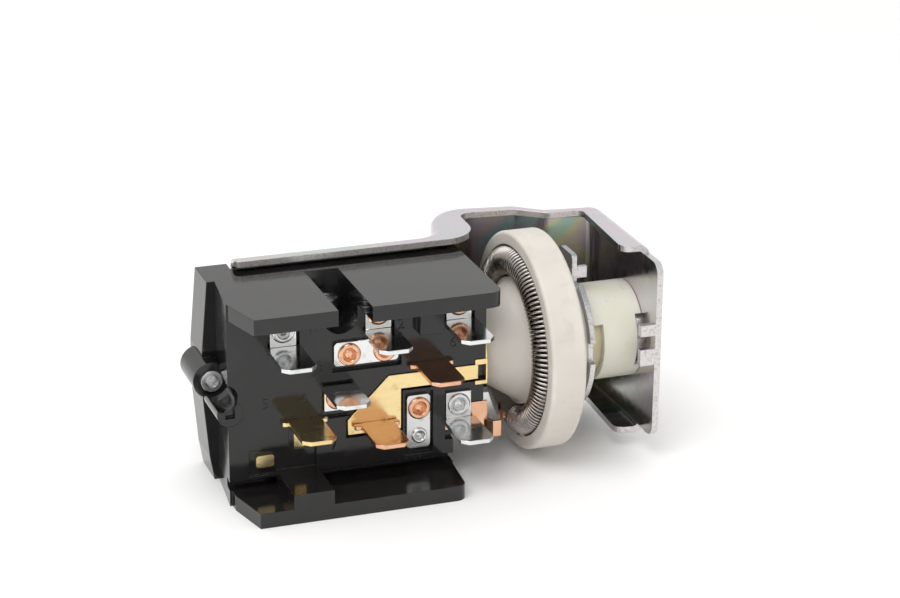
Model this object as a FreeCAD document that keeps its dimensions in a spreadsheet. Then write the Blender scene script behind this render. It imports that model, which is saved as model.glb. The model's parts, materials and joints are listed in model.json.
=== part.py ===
import FreeCAD, Part
import math
import os
import re
import Sketcher

# Push-pull lighting switch with a rotary dimmer, as fitted behind a dashboard.
# Frame: the shaft axis is X, and +X points out of the panel towards the driver.
# The origin is on that axis, at the outer face of the plate that lies on the panel.
# The terminals point along -Y, and +Z is up. Sizes are in millimetres.

doc = FreeCAD.newDocument("LightingSwitch")
sheet = doc.addObject("Spreadsheet::Sheet", "Sizes")

# Driving sizes. Places along X are distances behind the panel face, so they enter with a minus.
SIZES = {
    # bracket, one pressed pan of sheet steel
    "steel": 1.2,
    "pan_half": 18.8,
    "pan_bend": 2.0,
    "pan_end": 76.4,
    "wall_gap": 0.1,
    "flange_width": 3.6,
    "bay_start": 37.5,
    "bay_rear": 25.6,
    "bay_slope": 2.6,
    "kink_start": 17.0,
    "kink_end": 11.8,
    "kink_rear": 18.9,
    "corner_rear": 17.6,
    "front_flange": 5.5,
    "front_flange_end": 7.5,
    "plate_near": 14.0,
    "plate_half": 17.2,
    "plate_round": 2.2,
    "clip_top": 5.5,
    "clip_gap_top": 3.3,
    "clip_gap_bottom": 0.7,
    "clip_bottom": 2.5,
    "clip_depth": 2.9,
    # retaining plate and threaded ferrule
    "retainer": 1.2,
    "retainer_half": 12.5,
    "retainer_near": 10.4,
    "retainer_round": 2.5,
    "ferrule_radius": 6.82,
    "ferrule_flange": 9.0,
    "ferrule_depth": 6.5,
    "thread_radius": 5.3,
    # case shells
    "case_front_end": 33.6,
    "case_rear_end": 82.4,
    "face": 8.2,
    "parting": 4.0,
    "case_back": 9.5,
    "case_top": 16.8,
    "case_floor": 22.0,
    "face_bottom": 17.4,
    "floor_plate": 2.9,
    "side_draft": 1.2,
    "shell": 2.2,
    "face_wall": 3.0,
    "back_wall": 2.1,
    "chamber_top": 7.0,
    "chamber_bottom": 14.0,
    "pocket_bottom": 9.0,
    "hood_reach": 8.9,
    "hood_plate": 2.9,
    "hood_gap_left": 64.4,
    "hood_gap_right": 58.1,
    "channel_bottom": 8.75,
    "shelf_reach": 11.0,
    "shelf_left": 79.7,
    "shelf_right": 41.0,
    "step_left": 73.5,
    "step_right": 66.0,
    "step_top": 16.4,
    "corner_cut": 39.8,
    "corner_top": 13.6,
    "recess": 1.0,
    "leaf": 0.4,
    "bore_radius": 3.3,
    # terminals and strips
    "blade_width": 6.35,
    "blade": 0.8,
    "blade_reach": 11.0,
    "blade_chamfer": 1.2,
    "leg_width": 4.9,
    "shoulder_width": 8.6,
    "shoulder": 1.4,
    "strip_play": 0.45,
    "eyelet_radius": 2.15,
    "eyelet_bore": 1.1,
    "eyelet_head": 0.55,
    "eyelet_shank": 1.3,
    "eyelet_inner": 1.85,
    "small_eyelet": 1.5,
    # slider, its latch and the release plunger
    "slider_rear": 79.4,
    "slider_length": 28.0,
    "slide_play": 0.1,
    "slide_gap": 0.05,
    "bridge": 0.6,
    "bridge_seat": 3.0,
    "leaf_spring": 0.3,
    "travel": 12.7,
    "latch": 1.2,
    "latch_wall": 0.4,
    "latch_play": 0.05,
    "plunger_place": 61.8,
    "plunger_radius": 1.5,
    "plunger_top": 13.2,
    "plunger_stroke": 2.0,
    "spring_wire": 0.2,
    "spring_slack": 0.03,
    "ball_radius": 1.5,
    "ball_place": 7.4,
    "ball_play": 0.03,
    "ball_drop": 10.4,
    "ball_spring_foot": 1.5,
    # rheostat
    "ring_radius": 20.6,
    "ring_rear": 25.2,
    "ring_front": 18.5,
    "rim_radius": 18.1,
    "groove_inner": 12.0,
    "groove_depth": 4.2,
    "coil_radius": 15.1,
    "coil_tube": 2.9,
    "coil_place": 24.2,
    "coil_start": -38.0,
    "coil_sweep": 300.0,
    "hub_end": 33.1,
    "hub_radius": 6.3,
    "hub_bore": 3.6,
    "front_boss": 12.0,
    "driver_rear": 14.9,
    "driver": 1.0,
    "driver_radius": 12.1,
    "lobe_radius": 13.4,
    "tab_half": 3.2,
    "tab_top": 16.8,
    "sleeve_radius": 9.2,
    "sleeve_wall": 2.3,
    "sleeve_rear": 10.4,
    "sleeve_notch": 1.3,
    "run_play": 0.08,
    "bush_radius": 8.0,
    "stop_half": 3.0,
    "stop_reach": 14.8,
    # places on the terminal face
    "upper_row": 8.9,
    "upper_rivets": 11.8,
    "link_row": 4.6,
    "feed_row": -2.0,
    # screws and case rivet
    "screw_radius": 1.2,
    "screw_head": 2.2,
    "screw_reach": 2.0,
    "boss_place": 83.0,
    "boss_drop": 1.0,
    "boss_radius": 3.4,
    "rivet_radius": 2.0,
    "rivet_bore": 1.2,
}
for row, (name, size) in enumerate(SIZES.items(), start=1):
    sheet.set(f"A{row}", name)
    sheet.set(f"B{row}", str(size))
    sheet.setAlias(f"B{row}", name)
doc.recompute()

NAMES = re.compile(r"[a-z][a-z_]*")
TO_X = FreeCAD.Rotation(FreeCAD.Vector(0, 0, 1), FreeCAD.Vector(1, 0, 0))
TO_Y = FreeCAD.Rotation(FreeCAD.Vector(0, 0, 1), FreeCAD.Vector(0, 1, 0))
TURNS = {"x": TO_X, "y": TO_Y, "z": FreeCAD.Rotation()}
nodes = {}


def bound(text):
    """An expression on the sheet from one that uses the bare names of the sizes."""
    return NAMES.sub(lambda m: f"Sizes.{m.group(0)}" if m.group(0) in SIZES else m.group(0), str(text))


def node(item, label):
    """Names an object as a kept sub-part."""
    item.Label = label
    nodes[label] = item
    return item


def block(x, y, z):
    """A box from low and high expressions on each axis."""
    box = doc.addObject("Part::Box", "block")
    for size, base, (low, high) in zip(("Length", "Width", "Height"), "xyz", (x, y, z)):
        box.setExpression(size, bound(f"({high}) - ({low})"))
        box.setExpression(f"Placement.Base.{base}", bound(low))
    return box


def rod(axis, centre, span, radius):
    """A cylinder along an axis; centre holds the other two coordinates in X, Y, Z order."""
    item = doc.addObject("Part::Cylinder", "rod")
    item.Placement = FreeCAD.Placement(FreeCAD.Vector(), TURNS[axis])
    item.setExpression("Radius", bound(radius))
    item.setExpression("Height", bound(f"({span[1]}) - ({span[0]})"))
    base = dict(zip([a for a in "xyz" if a != axis], centre))
    base[axis] = span[0]
    for coordinate, place in base.items():
        item.setExpression(f"Placement.Base.{coordinate}", bound(place))
    return item


def cone(span, radii):
    """A cone on the shaft axis between two places along X."""
    item = doc.addObject("Part::Cone", "cone")
    item.Placement = FreeCAD.Placement(FreeCAD.Vector(), TO_X)
    item.setExpression("Radius1", bound(radii[0]))
    item.setExpression("Radius2", bound(radii[1]))
    item.setExpression("Height", bound(f"({span[1]}) - ({span[0]})"))
    item.setExpression("Placement.Base.x", bound(span[0]))
    return item


def fuse(*items):
    result = items[0]
    for item in items[1:]:
        joined = doc.addObject("Part::Fuse", "fuse")
        joined.Base = result
        joined.Tool = item
        joined.Refine = item is items[-1]
        result = joined
    return result


def cut(base, *tools):
    result = base
    for tool in tools:
        cleared = doc.addObject("Part::Cut", "cut")
        cleared.Base = result
        cleared.Tool = tool
        cleared.Refine = tool is tools[-1]
        result = cleared
    return result


def group(*items):
    """Separate solids kept as one node."""
    result = doc.addObject("Part::Compound", "group")
    result.Links = list(items)
    return result


def origin_plane(body, role):
    return next(item for item in body.Origin.OriginFeatures if item.Role == role)


def outline(sketch, points):
    """Closed lines through (first, second) expressions, each corner bound from the sketch's origin."""
    count = len(points)
    ring = [FreeCAD.Vector(math.cos(2 * math.pi * i / count), math.sin(2 * math.pi * i / count), 0)
            for i in range(count)]
    for i in range(count):
        sketch.addGeometry(Part.LineSegment(ring[i], ring[(i + 1) % count]))
    for i in range(count):
        sketch.addConstraint(Sketcher.Constraint("Coincident", i, 2, (i + 1) % count, 1))
    for i, point in enumerate(points):
        for kind, start, text in (("DistanceX", ring[i].x, point[0]), ("DistanceY", ring[i].y, point[1])):
            index = sketch.addConstraint(Sketcher.Constraint(kind, -1, 1, i, 1, start))
            sketch.setExpression(f"Constraints[{index}]", bound(text))


def prism(plane, points, span):
    """A body padded from an outline of (first, second, corner radius) expressions.

    The plane is xy, xz or yz, and span holds the low and high places along its normal axis.
    """
    body = doc.addObject("PartDesign::Body", "prism")
    sketch = body.newObject("Sketcher::SketchObject", "outline")
    sketch.AttachmentSupport = (origin_plane(body, f"{plane.upper()}_Plane"), [""])
    sketch.MapMode = "FlatFace"
    # the normal of the XZ plane is -Y
    offset = f"-({span[1]})" if plane == "xz" else span[0]
    sketch.setExpression("AttachmentOffset.Base.z", bound(offset))
    outline(sketch, points)
    pad = body.newObject("PartDesign::Pad", "pad")
    pad.Profile = sketch
    pad.setExpression("Length", bound(f"({span[1]}) - ({span[0]})"))
    doc.recompute()
    tip = pad
    corners = [sketch.Placement.multVec(line.StartPoint) for line in sketch.Geometry]
    normal = sketch.Placement.Rotation.multVec(FreeCAD.Vector(0, 0, 1))
    for corner, point in zip(corners, points):
        if len(point) < 3:
            continue
        fillet = body.newObject("PartDesign::Fillet", "corner")
        fillet.Base = (tip, edges_on_line(tip.Shape, corner, normal))
        fillet.setExpression("Radius", bound(point[2]))
        doc.recompute()
        tip = fillet
    return body


def edges_on_line(shape, point, direction):
    """Names of the straight edges that lie on a line through a point."""
    found = []
    for index, edge in enumerate(shape.Edges, start=1):
        ends = [v.Point - point for v in edge.Vertexes]
        if len(ends) == 2 and all(end.cross(direction).Length < 1e-4 for end in ends):
            found.append(f"Edge{index}")
    return found


def size_of(text):
    """The present value of a sum or difference of sizes and numbers."""
    total = 0.0
    for sign, term in re.findall(r"([+-]?)\s*([a-z_]+|[0-9.]+)", text):
        value = SIZES_NOW[term] if term in SIZES_NOW else float(term)
        total += -value if sign == "-" else value
    return total


def rounded(base, radius, chosen):
    """Rounds the edges of a finished shape that the test picks by their middle point."""
    doc.recompute()
    result = doc.addObject("Part::Fillet", "rounded")
    result.Base = base
    size = size_of(radius)
    picks = []
    for index, edge in enumerate(base.Shape.Edges, start=1):
        middle = edge.valueAt((edge.FirstParameter + edge.LastParameter) / 2)
        if chosen(middle, edge):
            picks.append((index, size, size))
    result.Edges = picks
    doc.recompute()
    return result


def along(edge, axis):
    """True for a straight edge along an axis."""
    if edge.Curve.TypeId != "Part::GeomLine":
        return False
    run = edge.Vertexes[-1].Point - edge.Vertexes[0].Point
    return abs(abs(getattr(run, axis)) - run.Length) < 1e-4


def near(first, second):
    return abs(first - second) < 0.02


def helix_spring(label, start, turn, mean, height, turns):
    """A round-wire compression spring from its foot, along the turned Z axis."""
    wire, slack = SIZES_NOW["spring_wire"], SIZES_NOW["spring_slack"]
    rise = height - 2 * (wire + slack)
    path = Part.makeHelix(rise / turns, rise, mean)
    section = Part.Wire(Part.Circle(FreeCAD.Vector(mean, 0, 0), FreeCAD.Vector(0, 1, 0), wire).toShape())
    pipe = Part.Wire(path.Edges).makePipeShell([section], True, True)
    item = doc.addObject("Part::Feature", label)
    item.Shape = pipe
    lift = FreeCAD.Placement(FreeCAD.Vector(0, 0, wire + slack), FreeCAD.Rotation())
    item.Placement = FreeCAD.Placement(FreeCAD.Vector(*start), turn) * lift
    return item


SIZES_NOW = {name: float(sheet.get(name)) for name in SIZES}

# rear face of the bracket's wall, which lies behind the case
WALL_REAR = "(case_back + wall_gap + steel)"

# ---------------------------------------------------------------- bracket and front plate

def bracket_sheet():
    """A pan of sheet steel: rear wall with top and bottom flanges, turned across the front."""
    flange_rear = f"{WALL_REAR} - flange_width"
    plate = "-retainer"
    outer = [
        ("-pan_end", WALL_REAR),
        ("-bay_start", WALL_REAR, 4.5),
        ("-bay_start + 4.5", "bay_rear", 7.5),
        ("-kink_start", "bay_rear - bay_slope", 4),
        ("-kink_end", "kink_rear", 3),
        (plate, "corner_rear", 3),
        (plate, "-front_flange_end"),
    ]
    inner = [
        (f"{plate} - steel", "0.2 - front_flange_end"),
        (f"{plate} - front_flange", "0.6 - front_flange_end", 2),
        (f"{plate} - front_flange + 1.1", "corner_rear - 2.6", 1.2),
        ("-kink_end - 0.8", "kink_rear - 3.5", 3),
        ("-kink_start - 0.8", "bay_rear - bay_slope - 3.6", 3),
        ("-bay_start + 8.5", "bay_rear - 5", 2.2),
        ("-bay_start + 8.1", flange_rear, 6.5),
        ("-pan_end", flange_rear, 1.2),
    ]
    pan = prism("xy", outer + inner, ("-pan_half", "pan_half"))
    rims = [Part.Edge(line.toShape()) for line in pan.Group[0].Geometry[:len(outer) - 1]]
    square = pan.Tip
    bend = pan.newObject("PartDesign::Fillet", "bend")
    bend.Base = (square, rim_edges(square.Shape, SIZES_NOW["pan_half"], rims))
    bend.setExpression("Radius", bound("pan_bend"))
    doc.recompute()
    return cut(pan, pan_hollow(outer))


def rim_edges(shape, half, lines):
    """Names of the top and bottom edges that follow the given lines, round corners included."""
    found = []
    for index, edge in enumerate(shape.Edges, start=1):
        middle = edge.valueAt((edge.FirstParameter + edge.LastParameter) / 2)
        ends = [v.Point for v in edge.Vertexes]
        if any(abs(abs(p.z) - half) > 1e-4 for p in ends + [middle]):
            continue
        flat = [Part.Vertex(p.x, p.y, 0) for p in ends]
        flat.append(Part.Vertex(middle.x, middle.y, 0))
        gaps = [min(line.distToShape(p)[0] for line in lines) for p in flat]
        if max(gaps[:-1]) < 1e-4 and gaps[-1] < 3.2:
            found.append(f"Edge{index}")
    return found


def pan_hollow(outer):
    """The space inside the pan: the outer line set in by the sheet, with bends about the same centres."""
    past = "10"
    line = doc.addObject("Sketcher::SketchObject", "hollow_outline")
    line.setExpression("Placement.Base.z", bound("steel - pan_half"))
    first = [(f"-pan_end - {past}", WALL_REAR)]
    last = [("-retainer", f"-plate_near - {past}"), (f"-pan_end - {past}", f"-plate_near - {past}")]
    outline(line, first + outer[1:-1] + last)
    doc.recompute()
    inset = doc.addObject("Part::Offset2D", "inset")
    inset.Source = line
    inset.Join = "Intersection"
    inset.setExpression("Value", bound("-steel"))
    solid = doc.addObject("Part::Extrusion", "hollow")
    solid.Base = inset
    solid.DirMode = "Custom"
    solid.Dir = FreeCAD.Vector(0, 0, 1)
    solid.Solid = True
    solid.setExpression("LengthFwd", bound("2*pan_half - 2*steel"))
    doc.recompute()
    steel = SIZES_NOW["steel"]
    corners = [edge.StartPoint for edge in line.Geometry]
    picks = []
    for i, point in enumerate(outer[1:-1], start=1):
        before, after = corners[i] - corners[i - 1], corners[i + 1] - corners[i]
        outward = before.cross(after).z > 0
        radius = float(point[2]) + (steel if outward else -steel)
        for index, edge in enumerate(solid.Shape.Edges, start=1):
            spot = edge.Vertexes[0].Point
            if along(edge, "z") and math.hypot(spot.x - corners[i].x, spot.y - corners[i].y) < 1.6 * steel:
                picks.append((index, radius, radius))
    bends = doc.addObject("Part::Fillet", "bends")
    bends.Base = solid
    bends.Edges = picks
    doc.recompute()
    half = SIZES_NOW["pan_half"] - steel
    free_end, near_end = -SIZES_NOW["pan_end"] - 5, -SIZES_NOW["plate_near"] - 5
    return rounded(bends, "pan_bend - steel", lambda middle, edge:
                   near(abs(middle.z), half) and middle.x > free_end and middle.y > near_end)


def mounting_bracket():
    """The pressed pan with the free end of its front plate, its clip, its holes and the rotor stop."""
    plate = ("-retainer - steel", "-retainer")
    near_end = rounded(
        block(plate, ("-plate_near", "0.3 - front_flange_end"), ("-plate_half", "plate_half")), "plate_round",
        lambda middle, edge: along(edge, "x") and near(middle.y, -SIZES_NOW["plate_near"]))
    finger = ("-retainer - steel - clip_depth", "-retainer - steel")
    fingers = [block(finger, ("-plate_near", "steel - plate_near"), span)
               for span in (("clip_gap_top", "clip_top"), ("-clip_bottom", "clip_gap_bottom"))]
    stop = block(("-driver_rear - 0.3", "-driver_rear + driver + 0.7"),
                 ("stop_reach", "kink_rear + 0.6"), ("-stop_half", "stop_half"))
    ferrule_hole = rod("x", ("0", "0"), ("-retainer - steel - 1", "0"), "ferrule_radius")
    holes = [rod("y", place, (f"{WALL_REAR} - 2", f"{WALL_REAR} + 1"), "screw_radius")
             for place in SCREWS]
    pressed = fuse(bracket_sheet(), near_end, group(stop, *fingers))
    return node(cut(pressed, group(ferrule_hole, *holes)), "mounting_bracket")


def retaining_plate():
    """Outer plate that lies on the panel, under the panel nut."""
    plate = block(("-retainer", "0"), ("-retainer_near", "retainer_half"),
                  ("-retainer_half", "retainer_half"))
    plate = rounded(plate, "retainer_round", lambda middle, edge: along(edge, "x"))
    hole = rod("x", ("0", "0"), ("-retainer - 1", "1"), "ferrule_flange")
    return node(cut(plate, hole), "retaining_plate")


def threaded_ferrule():
    """Turned ferrule that carries the sleeve inside and takes the panel nut from the front."""
    flange = rod("x", ("0", "0"), ("-retainer", "0"), "ferrule_flange")
    barrel = rod("x", ("0", "0"), ("-ferrule_depth", "-retainer"), "ferrule_radius")
    thread = rod("x", ("0", "0"), ("-ferrule_depth - 1", "1"), "thread_radius")
    return node(cut(fuse(flange, barrel), thread), "threaded_ferrule")


# ---------------------------------------------------------------- case shells

# centre of the detent ball
BALL = ("-slider_rear + ball_place", "case_back - back_wall - ball_radius - ball_play", "-ball_drop")

# places of the bracket screws along X and Z
SCREWS = (("-66.7", "12.2"), ("-74.4", "-15.9"), ("-47", "-15.9"))
INSIDE = ("-case_rear_end + shell", "-case_front_end - shell")
CHAMBER = ("-chamber_bottom", "chamber_top")
FACE = "-face"
FLOOR = "-face + recess"

# terminals: place along X, place of the blade's upper side along Z, rivet height and leg end
LEGGED = {
    "terminal_tail": ("-71.95", "7.6", "10.5", "12.7"),
    "terminal_feed": ("-54.15", "upper_row", "upper_rivets", "13.9"),
    "terminal_dimmer": ("-62.0", "-0.6", "-3.6", "-6.1"),
    "terminal_lamp": ("-38.8", "upper_row", "upper_rivets", "13.9"),
    "terminal_instrument": ("-38.7", "-10.5", "-7.9", "-5.5"),
}
STRAIGHT = {
    "terminal_head": ("-44.35", "1.55"),
    "terminal_rheostat": ("-54.8", "-9.1"),
    "terminal_battery": ("-68.4", "-6.6"),
}
UPPER_LINK = (("-62.55", "-50.3"), ("2.4", "7.0"))
LOWER_LINK = (("-48.75", "-44.2"), ("-15.6", "-5.05"))
UPPER_LINK_RIVETS = (("-59.7", "link_row"), ("-53.0", "link_row"))
LOWER_LINK_RIVETS = (("-46.4", "-7.65"), ("-46.4", "-13.05"))
FEED = (
    ("-52.2", "-0.55"), ("-34.9", "-0.55"), ("-34.9", "-3.45"), ("-49.8", "-3.45"),
    ("-49.8", "-11.3"), ("-60.05", "-11.3"), ("-60.05", "-8.3"),
)


def widened(span, play):
    return (f"{span[0]} - {play}", f"{span[1]} + {play}")


def leg_height(top, end):
    """Low and high places of a terminal's leg, which hangs when its end is below the blade."""
    return (end, top) if size_of(end) < size_of(top) else (f"{top} - blade", end)


def chambers(near_side):
    """The hollow that holds the slider, and in the near shell the two pockets behind the hoods."""
    depth = ("-face + face_wall", "parting + 1") if near_side else ("parting - 1", "case_back - back_wall")
    spaces = [block(INSIDE, depth, CHAMBER)]
    if near_side:
        pocket = ("pocket_bottom", "case_top - 2.4")
        spaces.append(block((INSIDE[0], "-69"), depth, pocket))
        spaces.append(block(("-56.6", INSIDE[1]), depth, pocket))
    return spaces


def face_recesses():
    """Shallow seats in the terminal face for the legs and strips, as sets that don't overlap."""
    seat = (f"{FACE} - 1", FLOOR)
    low_area = (f"{FACE} - 1", f"{FACE} + 0.6")
    apart = [block(widened(span[0], "strip_play"), seat, (f"{span[1][0]} - 1", f"{span[1][1]} + 0.7"))
             for span in (UPPER_LINK, LOWER_LINK)]
    for label, (place, top, rivet, end) in LEGGED.items():
        if label == "terminal_instrument":
            continue
        low, high = leg_height(top, end)
        below = "1.3" if low is end else "0.4"
        apart.append(block((f"{place} - leg_width/2 - 0.5", f"{place} + leg_width/2 + 0.5"), seat,
                           (f"{low} - {below}", f"{high} + 0.4")))
    # low area round the sensing contacts
    apart.append(block(("-78.7", "-66.1"), low_area, ("-step_top - 0.4", "-11.8")))
    # a wider seat than the feed strip, on the same outline
    feed_seat = prism("xz", [
        ("-52.4", "-0.25"), ("-33", "-0.25"), ("-33", "-3.75"), ("-49.6", "-3.75"),
        ("-49.6", "-11.7"), ("-60.45", "-11.7"), ("-60.45", "-8.2")], seat)
    wiper_seat = block(("-41.4", "-case_front_end + 1"), seat, ("-corner_top - 1", "-4.35"))
    leaf_seat = (f"{FACE} - 1", f"{FLOOR} + leaf")
    apart.append(block(("-41.2", "-case_front_end + 1"), leaf_seat, ("-13.4", "-8.1")))
    window_area = block(("-71.3", "-66.1"), low_area, ("-12", "-8.5"))
    return [group(*apart), group(feed_seat, wiper_seat, window_area)]


def terminal_housing():
    """Near shell: terminal face, two hoods with a channel between them, and the lower shelf."""
    body = prism("xy", [("-case_rear_end", FACE), ("-case_front_end", FACE),
                        ("-case_front_end", "parting"), ("-case_rear_end + side_draft", "parting")],
                 ("-case_floor", "case_top"))
    plate = ("case_top - hood_plate", "case_top")
    hood_front = f"{FACE} - hood_reach"
    left_hood = prism("xy", [("0.3 - case_rear_end", f"{FACE} + 1"), ("0.3 - case_rear_end", f"{FACE} - 0.5"),
                             ("-shelf_left", hood_front), ("-hood_gap_left", hood_front),
                             ("-hood_gap_left", f"{FACE} + 1")], plate)
    right_hood = prism("xy", [("-hood_gap_right", f"{FACE} + 1"), ("-hood_gap_right", hood_front),
                              ("-case_front_end", hood_front, "2.2"),
                              ("-case_front_end", f"{FACE} + 1")], plate)
    rib = block(("-47", "-42.4"), (f"{FACE} - 2.2", f"{FACE} + 0.5"), ("7.5", "case_top - hood_plate + 0.1"))
    shelf_front = f"{FACE} - shelf_reach"
    shelf = prism("xy", [("0.5 - case_rear_end", f"{FACE} + 4"), ("0.5 - case_rear_end", f"{FACE} - 2.1"),
                         ("-shelf_left", shelf_front), ("-shelf_right", shelf_front, "1.8"),
                         ("-corner_cut", f"{FACE} + 4")], ("-case_floor", "floor_plate - case_floor"))
    step = block(("-step_left", "-step_right"), (shelf_front, f"{FACE} + 0.7"),
                 ("-case_floor + 0.5", "-step_top"))
    post = rod("y", ("-82.1", "-3.9"), (f"{FACE} - 0.4", "0.8"), "2.4")
    solid = fuse(body, left_hood, right_hood, rib, shelf, post)

    undercut = block(("-case_rear_end - 1", "-case_front_end + 1"), (f"{FACE} - 0.1", f"{FACE} + 2.8"),
                     ("floor_plate - case_floor", "-face_bottom"))
    corner = block(("-corner_cut", "-case_front_end + 1"), (f"{FACE} - 1", "parting + 1"),
                   ("-case_floor - 1", "-corner_top"))
    channel_axis = "channel_bottom + (hood_gap_left - hood_gap_right)/2"
    gap = ("-hood_gap_left", "-hood_gap_right")
    channel = block(gap, (f"{hood_front} - 1", "parting + 1"), (channel_axis, "case_top + 1"))
    round_floor = rod("y", ("-(hood_gap_left + hood_gap_right)/2", channel_axis),
                      (f"{hood_front} - 1", "parting + 1"), "(hood_gap_left - hood_gap_right)/2")
    spot_face = rod("z", ("-plunger_place", "0"), ("channel_bottom", "case_top"), "2.6")
    plunger_hole = rod("z", ("-plunger_place", "0"), ("chamber_top - 1", "case_top"), "plunger_radius + 0.05")
    shaft_hole = rod("x", ("0", "0"), (f"{INSIDE[1]} - 1", "-case_front_end + 1"), "bore_radius + 0.4")
    boss_clearance = rod("y", ("-boss_place", "-boss_drop"), ("0.9", "parting + 1"), "boss_radius + 0.15")
    rivet_access = rod("y", ("-boss_place", "-boss_drop"), (f"{FACE} - 1", "1"), "rivet_radius + 0.5")
    post_socket = block(("-83", "-81.2"), (f"{FACE} - 1", f"{FACE} + 0.5"), ("-4.8", "-3.0"))
    drilled = [rod("y", place, ("-screw_reach", "parting + 1"), "screw_radius") for place in SCREWS]
    drilled += [rod("y", place, (f"{FACE} - 1", "-face + face_wall + 1"), "eyelet_shank")
                for place in rivet_places()]
    for place, top in STRAIGHT.values():
        drilled.append(block((f"{place} - leg_width/2", f"{place} + leg_width/2"),
                             (f"{FACE} - 1", "-face + face_wall + 1"), (f"{top} - blade", top)))
    relief = ("-face + face_wall", "-face + face_wall + eyelet_head + 0.1")
    reliefs = [rod("y", place, relief, "eyelet_inner + 0.05") for place in rivet_places()]
    window = block(("-70.1", "-67.7"), (f"{FACE} - 1", f"{FACE} + 1.4"), ("-12.7", "-8.6"))
    shell = cut(solid, group(undercut, channel, rivet_access), group(corner, round_floor),
                group(spot_face, post_socket, shaft_hole), group(plunger_hole, boss_clearance, window),
                group(*chambers(near_side=True)), *face_recesses(), group(*drilled), group(*reliefs))
    return node(fuse(shell, step), "terminal_housing")


def rivet_places():
    """Every rivet through the terminal face, as places along X and Z."""
    legs = [(place, rivet) for place, top, rivet, end in LEGGED.values()]
    return legs + list(UPPER_LINK_RIVETS) + list(LOWER_LINK_RIVETS)


def rear_case():
    """Far shell: closes the chamber and locates the end of the bracket pan."""
    span = ("parting", "case_back")
    profile = [
        ("-case_rear_end - 0.3", "case_top"), ("-case_rear_end - 1.5", "3"), ("-case_rear_end - 1.5", "-6"),
        ("-case_rear_end - 0.5", "-face_bottom"), ("0.3 - case_rear_end", "-case_floor"),
        ("-corner_cut", "-case_floor"), ("-corner_cut", "-corner_top"),
        ("-case_front_end", "-corner_top"), ("-case_front_end", "case_top"),
    ]
    end_block = profile[:5] + [("-pan_end - 0.4", "-case_floor"), ("-pan_end - 0.4", "case_top")]
    boss = rod("y", ("-boss_place", "-boss_drop"), ("1", "case_back + 1"), "boss_radius")
    end_depth = ("case_back - 1", "case_back + 2.9")
    solid = fuse(prism("xz", profile, span), prism("xz", end_block, end_depth), boss)
    flange_notch = block(("-pan_end - 0.4", "-case_front_end + 1"),
                         (f"{WALL_REAR} - flange_width - 0.3", "case_back + 4"),
                         ("-case_floor - 1", "0.3 - face_bottom"))
    rivet_hole = rod("y", ("-boss_place", "-boss_drop"), ("0", "case_back + 4"), "rivet_radius - 0.3")
    screw_holes = [rod("y", place, ("parting - 1", "case_back + 1"), "screw_radius") for place in SCREWS]
    notches = [rod("z", (f"{BALL[0]} + {k}*travel/2", BALL[1]), ("-12.4", "-8.4"), "ball_radius + 0.5")
               for k in range(3)]
    drilled = group(rivet_hole, *screw_holes, *notches)
    return node(cut(solid, flange_notch, *chambers(near_side=False), drilled), "rear_case")


def bracket_screws():
    """Pan-head screws from behind, through the bracket and far shell into the near shell."""
    screws = []
    for x, z in SCREWS:
        shank = rod("y", (x, z), ("-screw_reach", WALL_REAR), "screw_radius")
        head = rod("y", (x, z), (WALL_REAR, f"{WALL_REAR} + 1.3"), "screw_head")
        slot = block((f"{x} - screw_head - 1", f"{x} + screw_head + 1"),
                     (f"{WALL_REAR} + 0.7", f"{WALL_REAR} + 2"), (f"{z} - 0.3", f"{z} + 0.3"))
        screws.append(cut(fuse(shank, head), slot))
    return node(group(*screws), "bracket_screws")


def case_rivet():
    """Tubular rivet that clamps the two shells at the rear boss."""
    centre = ("-boss_place", "-boss_drop")
    shank = rod("y", centre, ("0.6", "case_back + 2.9"), "rivet_radius - 0.3")
    heads = [rod("y", centre, ("0.5", "1"), "rivet_radius"),
             rod("y", centre, ("case_back + 2.9", "case_back + 3.3"), "rivet_radius + 0.2")]
    bore = rod("y", centre, ("0", "case_back + 4"), "rivet_bore")
    return node(cut(fuse(shank, *heads), bore), "case_rivet")


# ---------------------------------------------------------------- terminals and strips

def blade_outline(place, root):
    """A push-on blade in plan, with its tip corners cut."""
    half, tip = "blade_width/2", "-face - blade_reach"
    return [
        (f"{place} - {half}", root), (f"{place} - {half}", f"{tip} + blade_chamfer"),
        (f"{place} - {half} + blade_chamfer", tip), (f"{place} + {half} - blade_chamfer", tip),
        (f"{place} + {half}", f"{tip} + blade_chamfer"), (f"{place} + {half}", root),
    ]


def legged_terminal(label, place, top, rivet, end):
    """An L-shaped terminal: a leg riveted to the face, folded out into a blade."""
    blade = prism("xy", blade_outline(place, FACE), (f"{top} - blade", top))
    low, high = leg_height(top, end)
    across = (f"{place} - leg_width/2", f"{place} + leg_width/2")
    fold = block(across, (f"{FACE} - 0.5", FLOOR), (f"{top} - blade", top))
    leg = block(across, (f"{FLOOR} - blade", FLOOR), (low, high))
    hole = rod("y", (place, rivet), (f"{FLOOR} - 2", f"{FLOOR} + 1"), "eyelet_shank")
    return node(cut(fuse(blade, fold, leg), hole), label)


def straight_terminal(label, place, top):
    """A blade that passes through the face and stands on two staked shoulders."""
    blade = prism("xy", blade_outline(place, FACE), (f"{top} - blade", top))
    shoulders = block((f"{place} - shoulder_width/2", f"{place} + shoulder_width/2"),
                      (f"{FACE} - shoulder", FACE), (f"{top} - blade", top))
    shoulders = rounded(shoulders, "0.6", lambda middle, edge: along(edge, "z"))
    stem = block((f"{place} - leg_width/2", f"{place} + leg_width/2"),
                 (FACE, "-face + face_wall + eyelet_head"), (f"{top} - blade", top))
    return node(fuse(blade, shoulders, stem), label)


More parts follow.
